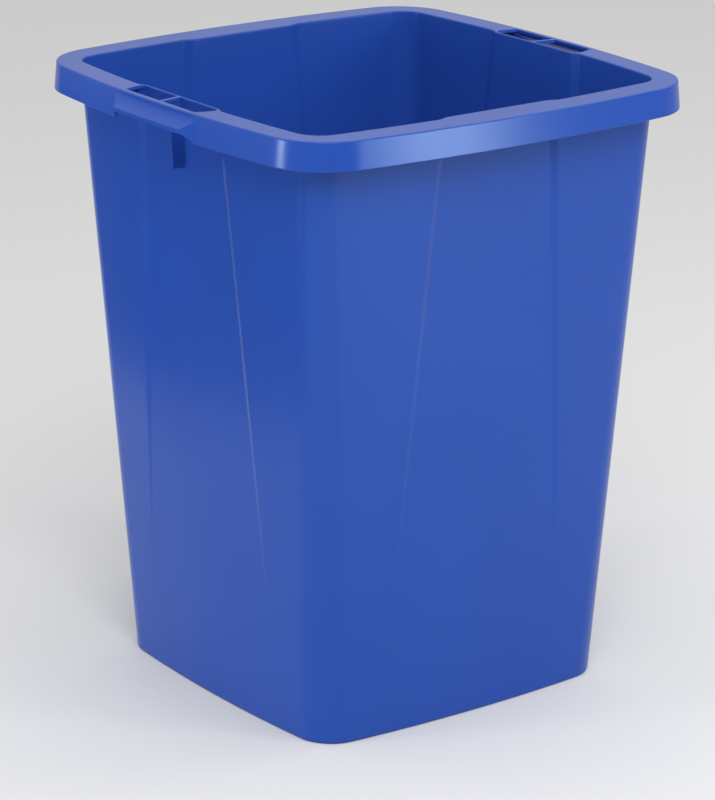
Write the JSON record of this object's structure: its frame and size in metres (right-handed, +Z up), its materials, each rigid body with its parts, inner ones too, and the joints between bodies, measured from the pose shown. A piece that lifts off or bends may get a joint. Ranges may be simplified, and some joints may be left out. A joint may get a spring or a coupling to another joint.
{
  "type": "wastebasket",
  "caption": "Open square waste bin with tapering bowed walls, a flat overhanging rim and a flared hand grip with finger windows on opposite sides.",
  "frame": {"origin": "on the floor under the middle of the bin", "axes": "+Z up out of the mouth; +X and -X towards the two grips; -Y towards a plain side, taken as the front"},
  "size_m": [0.5068, 0.49, 0.61],
  "materials": {
    "blue_polypropylene": "satin moulded polypropylene, self-coloured blue"
  },
  "bodies": {
    "root": {"floor_panel": "blue_polypropylene", "foot_ring": "blue_polypropylene", "grip_left": "blue_polypropylene", "grip_rib_left": "blue_polypropylene", "grip_rib_right": "blue_polypropylene", "grip_right": "blue_polypropylene", "rim_back": "blue_polypropylene", "rim_corner_back_left": "blue_polypropylene", "rim_corner_back_right": "blue_polypropylene", "rim_corner_front_left": "blue_polypropylene", "rim_corner_front_right": "blue_polypropylene", "rim_front": "blue_polypropylene", "rim_left_back": "blue_polypropylene", "rim_left_front": "blue_polypropylene", "rim_right_back": "blue_polypropylene", "rim_right_front": "blue_polypropylene", "wall_back": "blue_polypropylene", "wall_corner_back_left": "blue_polypropylene", "wall_corner_back_right": "blue_polypropylene", "wall_corner_front_left": "blue_polypropylene", "wall_corner_front_right": "blue_polypropylene", "wall_front": "blue_polypropylene", "wall_left": "blue_polypropylene", "wall_right": "blue_polypropylene"}
  },
  "joints": []
}
